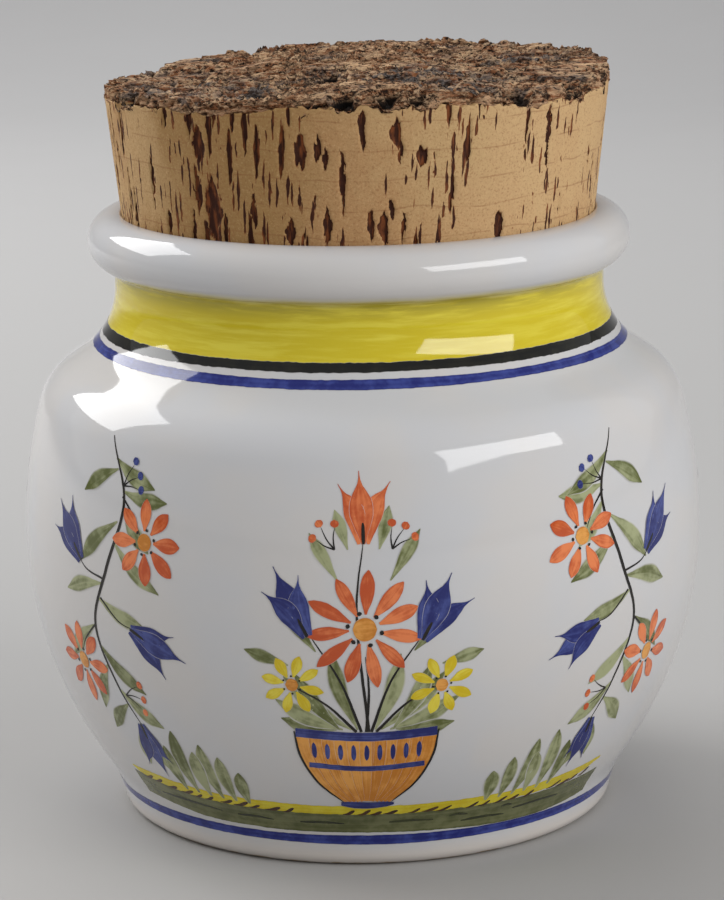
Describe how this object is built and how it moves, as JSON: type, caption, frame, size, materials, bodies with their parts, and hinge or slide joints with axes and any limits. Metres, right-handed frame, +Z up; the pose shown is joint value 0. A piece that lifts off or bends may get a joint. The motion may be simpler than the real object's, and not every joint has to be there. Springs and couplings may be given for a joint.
{
  "type": "ceramic storage jar",
  "caption": "Round-bellied glazed ceramic storage jar with a rolled lip, painted bands round neck and foot, and a wide natural cork stopper seated in its mouth.",
  "frame": {"origin": "the middle of the circle on which the jar stands, on the surface under it", "axes": "+Z is up, along the jar's axis of turning; the painted front faces -Y; +X is to the right of someone who looks at the front"},
  "size_m": [0.14, 0.14, 0.1545],
  "materials": {
    "glaze": "gloss",
    "cork": "matte"
  },
  "bodies": {
    "root": {"jar_body": "glaze", "cork_stopper": "cork"}
  },
  "joints": []
}
